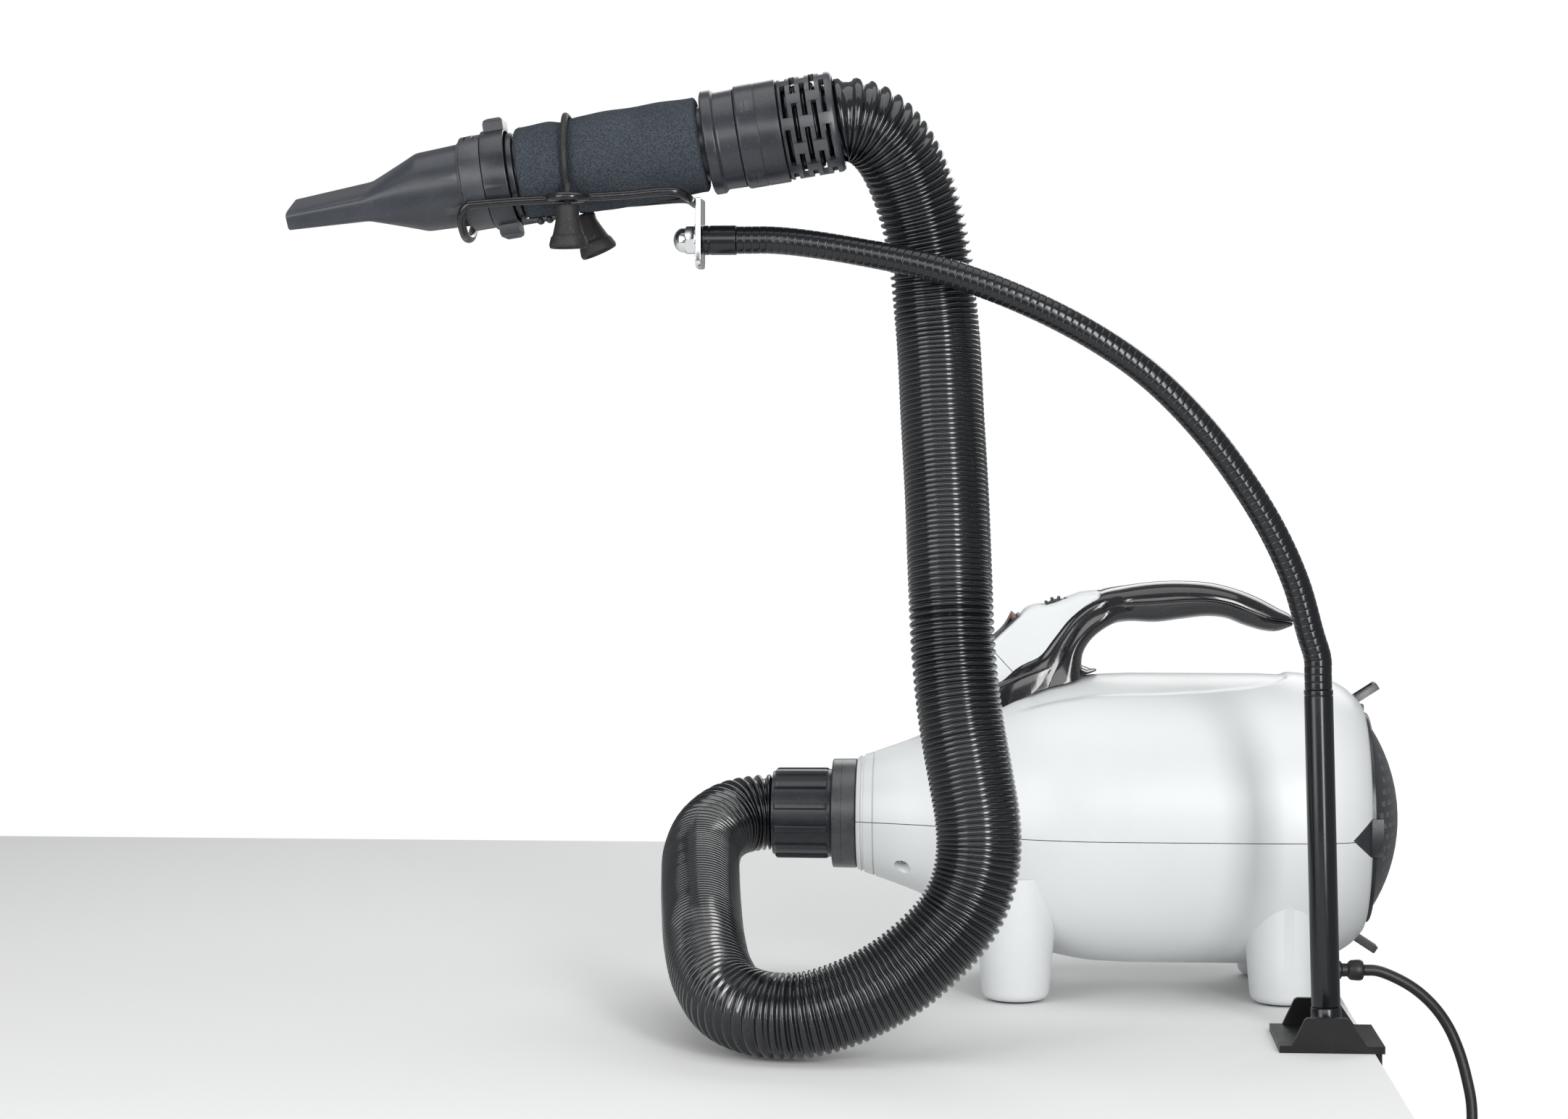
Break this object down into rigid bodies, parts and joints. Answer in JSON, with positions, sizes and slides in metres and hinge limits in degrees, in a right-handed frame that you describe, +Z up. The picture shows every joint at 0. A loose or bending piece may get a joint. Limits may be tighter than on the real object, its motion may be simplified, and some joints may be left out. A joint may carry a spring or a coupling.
{
  "type": "pet dryer",
  "caption": "Table-top pet dryer: blower with a carrying handle, ribbed hose, foam-gripped handpiece with a flat nozzle, and a gooseneck holder clamped to the table.",
  "frame": {"origin": "middle of the face by which the arm's clamp stands on the table", "axes": "+X from the hose outlet to the air intake, +Y away from the working side, +Z up"},
  "size_m": [0.715, 0.3598, 0.7529],
  "materials": {
    "casing": "fine satin moulding",
    "black_plastic": "satin",
    "gloss_black": "gloss",
    "rubber": "matt",
    "foam": "open-cell foam",
    "filter_foam": "open-cell foam",
    "vinyl_wire": "dipped vinyl",
    "chrome": "bright plating",
    "black_steel": "semi-gloss black",
    "steel": "turned",
    "motor_metal": "cast",
    "cast_alloy": "cast",
    "mica": "mica sheet",
    "board": "circuit board"
  },
  "bodies": {
    "base": {"upper_casing": "casing", "lower_casing": "casing", "foot_pad_front_near": "rubber", "foot_pad_front_far": "rubber", "foot_pad_rear_near": "rubber", "foot_pad_rear_far": "rubber", "outlet_ring": "black_plastic", "handle_collar": "gloss_black", "handle_crown": "gloss_black", "handle_finger_side": "gloss_black", "control_panel": "casing", "panel_front_cover": "casing", "power_switch_body": "black_plastic", "heat_switch_body": "black_plastic", "speed_control_board": "board", "motor_can": "motor_metal", "fan_housing": "cast_alloy", "rear_motor_mount": "rubber", "front_motor_mount": "rubber", "heater_frame": "mica", "heater_coil": "steel", "cord_gland": "rubber", "power_cord": "rubber", "cord_coil": "rubber", "cord_tie": "black_plastic", "plug": "rubber", "hose": "gloss_black", "clamp_body": "black_steel"},
    "power_rocker": {"power_rocker": "black_plastic"},
    "heat_rocker": {"heat_rocker": "black_plastic"},
    "speed_wheel": {"speed_wheel": "black_plastic"},
    "intake_cover": {"intake_rim": "black_plastic", "foam_filter": "filter_foam", "intake_grille": "black_plastic"},
    "upper_latch": {"upper_latch": "black_plastic"},
    "lower_latch": {"lower_latch": "black_plastic"},
    "rotor": {"motor_shaft": "steel", "impeller": "cast_alloy"},
    "coupling_nut": {"coupling_nut": "black_plastic"},
    "arm": {"pole_tube": "black_steel", "pole_collar": "black_steel", "gooseneck": "black_steel", "ferrule": "black_steel", "bracket_plate": "chrome", "acorn_nut": "chrome", "wire_cradle": "vinyl_wire", "elastic_cord": "rubber", "near_cord_stop": "rubber", "far_cord_stop": "rubber", "rear_socket": "black_plastic", "swivel_sleeve": "black_plastic", "hose_cage": "black_plastic"},
    "handpiece": {"wand_tube": "black_plastic", "foam_grip": "foam"},
    "locking_ring": {"locking_ring": "black_plastic"},
    "nozzle": {"nozzle": "black_plastic"},
    "pressure_pad": {"pressure_pad": "black_steel"},
    "clamp_screw": {"clamp_screw": "steel", "clamp_knob": "black_steel"}
  },
  "joints": [
    {"name": "power_rocker_tilt", "type": "hinge", "parent": "base", "child": "power_rocker", "pos_m": [-0.172, 0.1647, 0.2172], "axis": [0, 1, 0], "range_deg": [0, 16]},
    {"name": "heat_rocker_tilt", "type": "hinge", "parent": "base", "child": "heat_rocker", "pos_m": [-0.172, 0.1833, 0.2172], "axis": [0, 1, 0], "range_deg": [0, 16]},
    {"name": "speed_wheel_turn", "type": "hinge", "parent": "base", "child": "speed_wheel", "pos_m": [-0.1397, 0.174, 0.2242], "axis": [0, 1, 0], "range_deg": [0, 270]},
    {"name": "intake_cover_slide", "type": "slide", "parent": "base", "child": "intake_cover", "axis": [1, 0, 0], "range_m": [0, 0.03]},
    {"name": "upper_latch_press", "type": "hinge", "parent": "intake_cover", "child": "upper_latch", "pos_m": [0.0372, 0.174, 0.1727], "axis": [0, 1, 0], "range_deg": [0, 8], "stiffness_Nm_per_rad": 0.3},
    {"name": "lower_latch_press", "type": "hinge", "parent": "intake_cover", "child": "lower_latch", "pos_m": [0.0372, 0.174, 0.0363], "axis": [0, -1, 0], "range_deg": [0, 8], "stiffness_Nm_per_rad": 0.3},
    {"name": "rotor_spin", "type": "hinge", "parent": "base", "child": "rotor", "pos_m": [-0.076, 0.174, 0.1045], "axis": [1, 0, 0], "continuous": true},
    {"name": "coupling_nut_turn", "type": "hinge", "parent": "base", "child": "coupling_nut", "pos_m": [-0.276, 0.174, 0.1045], "axis": [1, 0, 0], "range_deg": [0, 60]},
    {"name": "arm_swing", "type": "hinge", "parent": "base", "child": "arm", "pos_m": [0.0049, 0, 0.004], "axis": [-0.0288, 0, 0.9996], "range_deg": [-15, 15], "deforming": ["hose"]},
    {"name": "handpiece_roll", "type": "hinge", "parent": "arm", "child": "handpiece", "pos_m": [-0.3333, -0.031, 0.4911], "axis": [0.9869, 0, 0.1616], "range_deg": [-15, 15]},
    {"name": "locking_ring_turn", "type": "hinge", "parent": "handpiece", "child": "locking_ring", "pos_m": [-0.3333, -0.031, 0.4911], "axis": [0.9869, 0, 0.1616], "range_deg": [0, 18]},
    {"name": "nozzle_slide", "type": "slide", "parent": "handpiece", "child": "nozzle", "axis": [-0.9869, 0, -0.1616], "range_m": [0, 0.035]},
    {"name": "pressure_pad_travel", "type": "slide", "parent": "base", "child": "pressure_pad", "axis": [0, 0, -1], "range_m": [0, 0.012]},
    {"name": "clamp_screw_turn", "type": "hinge", "parent": "pressure_pad", "child": "clamp_screw", "pos_m": [0.004, 0, -0.04], "axis": [0, 0, 1], "range_deg": [0, 2160]}
  ],
  "couplings": [
    {"joint": "clamp_screw_turn", "follows": "pressure_pad_travel", "rad_per_m": 3141}
  ]
}
